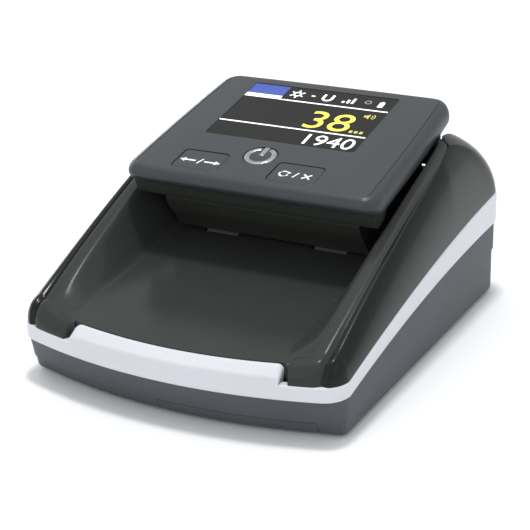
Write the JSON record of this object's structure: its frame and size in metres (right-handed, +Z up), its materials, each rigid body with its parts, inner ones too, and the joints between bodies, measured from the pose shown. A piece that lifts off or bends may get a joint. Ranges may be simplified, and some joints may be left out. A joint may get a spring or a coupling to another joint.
{
  "type": "banknote tester",
  "caption": "Desktop banknote tester: low wedge base with a sloping feed tray, hinged display head over the slot, press keys and motor-driven feed rollers.",
  "frame": {"origin": "centre of the footprint, on the table plane under the rubber feet", "axes": "+X to the user's right facing the tray, -Y towards the user (tray mouth), +Z up"},
  "size_m": [0.133, 0.168, 0.0853],
  "materials": {
    "base_grey": "matt",
    "trim_white": "satin",
    "gloss_black": "gloss",
    "head_grey": "satin",
    "key_grey": "satin",
    "inner_black": "matt",
    "screen_glass": "gloss",
    "sensor_glass": "clear",
    "board_green": "satin",
    "steel": "bright",
    "brass": "satin",
    "roller_rubber": "matt",
    "foot_rubber": "matt",
    "gear_white": "satin",
    "battery_wrap": "gloss",
    "lcd_back": "satin"
  },
  "bodies": {
    "base": {"base_shell": "base_grey", "trim_band": "trim_white", "top_housing": "gloss_black", "tray_insert": "gloss_black", "chassis": "inner_black", "battery_pack": "battery_wrap", "battery_contacts": "steel", "rubber_feet": "foot_rubber", "housing_screws": "steel", "chassis_screws": "steel", "main_pcb": "board_green", "pcb_chips": "inner_black", "buzzer": "inner_black", "ports_board": "board_green", "dc_jack": "inner_black", "usb_port": "steel", "motor_can": "steel", "motor_screws": "steel", "idler_stub": "steel", "shaft_bushings": "brass", "encoder_sensor": "inner_black", "lower_sensor_board": "board_green", "lower_glass": "sensor_glass", "hinge_pins": "steel"},
    "door": {"battery_door": "base_grey"},
    "feed_front": {"feed_shaft_front": "steel", "feed_rollers_front": "roller_rubber", "feed_gear_front": "gear_white"},
    "feed_rear": {"feed_shaft_rear": "steel", "feed_rollers_rear": "roller_rubber", "feed_gear_rear": "gear_white", "encoder_disc": "inner_black"},
    "idler": {"idler_gear": "gear_white"},
    "motor_rotor": {"motor_shaft": "steel", "motor_pinion": "brass"},
    "head": {"head_top_shell": "head_grey", "head_bottom_cover": "inner_black", "display_window": "screen_glass", "lcd_module": "lcd_back", "head_pcb": "board_green", "tact_switches": "inner_black", "upper_sensor_board": "board_green", "upper_glass": "sensor_glass", "magnetic_heads": "steel", "head_screws": "steel"},
    "pinch_front": {"pinch_shaft_front": "steel", "pinch_rollers_front": "roller_rubber"},
    "pinch_rear": {"pinch_shaft_rear": "steel", "pinch_rollers_rear": "roller_rubber"},
    "left_key": {"key_left": "key_grey"},
    "right_key": {"key_right": "key_grey"},
    "power_key": {"power_button": "key_grey"}
  },
  "joints": [
    {"name": "head_hinge", "type": "hinge", "parent": "base", "child": "head", "pos_m": [0, 0.052, 0.075], "axis": [-1, 0, 0], "range_deg": [0, 48]},
    {"name": "battery_door_slide", "type": "slide", "parent": "base", "child": "door", "axis": [0, -1, 0], "range_m": [0, 0.058]},
    {"name": "feed_front_spin", "type": "hinge", "parent": "base", "child": "feed_front", "pos_m": [0, 0.01066, 0.03103], "axis": [1, 0, 0], "continuous": true},
    {"name": "feed_rear_spin", "type": "hinge", "parent": "base", "child": "feed_rear", "pos_m": [0, 0.04645, 0.03497], "axis": [1, 0, 0], "continuous": true},
    {"name": "idler_spin", "type": "hinge", "parent": "base", "child": "idler", "pos_m": [0, 0.02855, 0.033], "axis": [1, 0, 0], "continuous": true},
    {"name": "motor_spin", "type": "hinge", "parent": "base", "child": "motor_rotor", "pos_m": [0, 0.04321, 0.01554], "axis": [1, 0, 0], "continuous": true},
    {"name": "pinch_front_spin", "type": "hinge", "parent": "head", "child": "pinch_front", "pos_m": [0, 0.00951, 0.04152], "axis": [1, 0, 0], "continuous": true},
    {"name": "pinch_rear_spin", "type": "hinge", "parent": "head", "child": "pinch_rear", "pos_m": [0, 0.04529, 0.04546], "axis": [1, 0, 0], "continuous": true},
    {"name": "left_key_press", "type": "slide", "parent": "head", "child": "left_key", "axis": [0, 0.2028, -0.9792], "range_m": [0, 0.0008]},
    {"name": "right_key_press", "type": "slide", "parent": "head", "child": "right_key", "axis": [0, 0.2028, -0.9792], "range_m": [0, 0.0008]},
    {"name": "power_press", "type": "slide", "parent": "head", "child": "power_key", "axis": [0, 0.2028, -0.9792], "range_m": [0, 0.0008]}
  ],
  "couplings": [
    {"joint": "feed_rear_spin", "follows": "feed_front_spin", "ratio": 1},
    {"joint": "idler_spin", "follows": "feed_front_spin", "ratio": -0.8},
    {"joint": "motor_spin", "follows": "feed_front_spin", "ratio": 3},
    {"joint": "pinch_front_spin", "follows": "feed_front_spin", "ratio": -2},
    {"joint": "pinch_rear_spin", "follows": "feed_front_spin", "ratio": -2}
  ]
}
